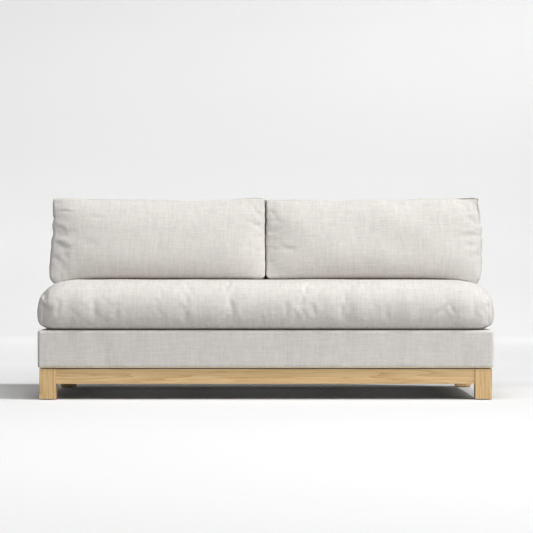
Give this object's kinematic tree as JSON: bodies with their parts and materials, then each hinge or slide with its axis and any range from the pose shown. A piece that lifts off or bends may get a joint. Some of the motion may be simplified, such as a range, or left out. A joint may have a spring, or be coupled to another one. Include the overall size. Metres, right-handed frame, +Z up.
{
  "type": "armless sofa",
  "caption": "Armless sofa: loose bench seat cushion and loose back cushions in linen-look fabric on an upholstered box body, over an exposed light wood base with block legs.",
  "frame": {"origin": "on the floor, at the centre of the sofa's footprint", "axes": "+Z up, +X along the seat to the right as seen from the front, +Y from the sitter towards the back"},
  "size_m": [1.89, 1.028, 0.846],
  "materials": {
    "base_wood": "clear matt lacquer on light ash",
    "inner_wood": "unfinished hardwood and plywood",
    "dark_strip": "dark stain",
    "glide_plastic": "matt",
    "zinc_steel": "zinc plated",
    "spring_steel": "drawn wire",
    "clip_plastic": "matt nylon",
    "felt": "needled felt",
    "foam": "cut foam",
    "upholstery": "linen-look slub weave",
    "dust_cloth": "spunbond cloth",
    "webbing": "jute webbing",
    "fibre": "polyester fibre in ticking",
    "zip_tape": "woven zip tape with coil teeth",
    "zip_metal": "nickel"
  },
  "bodies": {
    "frame": {"back_cover": "upholstery", "back_lower_rails": "inner_wood", "back_padding": "foam", "back_post_bolts": "zinc_steel", "back_post_nuts": "zinc_steel", "back_post_washers": "zinc_steel", "back_posts": "inner_wood", "back_top_rail": "inner_wood", "back_webbing_level": "webbing", "back_webbing_upright": "webbing", "base_corner_braces": "inner_wood", "base_stretcher_left": "inner_wood", "base_stretcher_right": "inner_wood", "body_bolt_inserts": "zinc_steel", "body_bolt_washers": "zinc_steel", "body_bolts": "zinc_steel", "body_cover": "upholstery", "body_padding": "foam", "carcass_corner_blocks": "inner_wood", "carcass_cross_braces": "inner_wood", "carcass_front_board": "inner_wood", "carcass_left_board": "inner_wood", "carcass_rear_board": "inner_wood", "carcass_right_board": "inner_wood", "deck_foam": "foam", "dust_cover": "dust_cloth", "leg_front_left": "base_wood", "leg_front_right": "base_wood", "leg_glides": "glide_plastic", "leg_rear_left": "base_wood", "leg_rear_right": "base_wood", "rail_front": "base_wood", "rail_left": "base_wood", "rail_rear": "base_wood", "rail_right": "base_wood", "reveal_strips": "dark_strip", "seat_springs": "spring_steel", "spring_clips": "clip_plastic", "spring_insulator": "felt", "spring_rail": "inner_wood", "spring_tie_wires": "spring_steel"},
    "seat_cushion": {"seat_cushion_cover": "upholstery", "seat_foam_core": "foam", "seat_fibre_wrap": "fibre", "seat_zip": "zip_tape"},
    "seat_zip_slider": {"seat_zip_slider": "zip_metal"},
    "back_cushion_left": {"back_cushion_left_cover": "upholstery", "back_cushion_left_fill": "fibre", "back_cushion_left_zip": "zip_tape"},
    "back_cushion_left_zip_slider": {"back_cushion_left_zip_slider": "zip_metal"},
    "back_cushion_right": {"back_cushion_right_cover": "upholstery", "back_cushion_right_fill": "fibre", "back_cushion_right_zip": "zip_tape"},
    "back_cushion_right_zip_slider": {"back_cushion_right_zip_slider": "zip_metal"}
  },
  "joints": [
    {"name": "seat_cushion_lift", "type": "slide", "parent": "frame", "child": "seat_cushion", "axis": [0, 0, 1], "range_m": [0, 0.35]},
    {"name": "back_cushion_left_lift", "type": "slide", "parent": "seat_cushion", "child": "back_cushion_left", "axis": [0, 0, 1], "range_m": [0, 0.45]},
    {"name": "back_cushion_right_lift", "type": "slide", "parent": "seat_cushion", "child": "back_cushion_right", "axis": [0, 0, 1], "range_m": [0, 0.45]},
    {"name": "seat_zip_slide", "type": "slide", "parent": "seat_cushion", "child": "seat_zip_slider", "axis": [1, 0, 0], "range_m": [0, 1.56]},
    {"name": "back_cushion_left_zip_slide", "type": "slide", "parent": "back_cushion_left", "child": "back_cushion_left_zip_slider", "axis": [1, 0, 0], "range_m": [0, 0.78]},
    {"name": "back_cushion_right_zip_slide", "type": "slide", "parent": "back_cushion_right", "child": "back_cushion_right_zip_slider", "axis": [1, 0, 0], "range_m": [0, 0.78]}
  ]
}
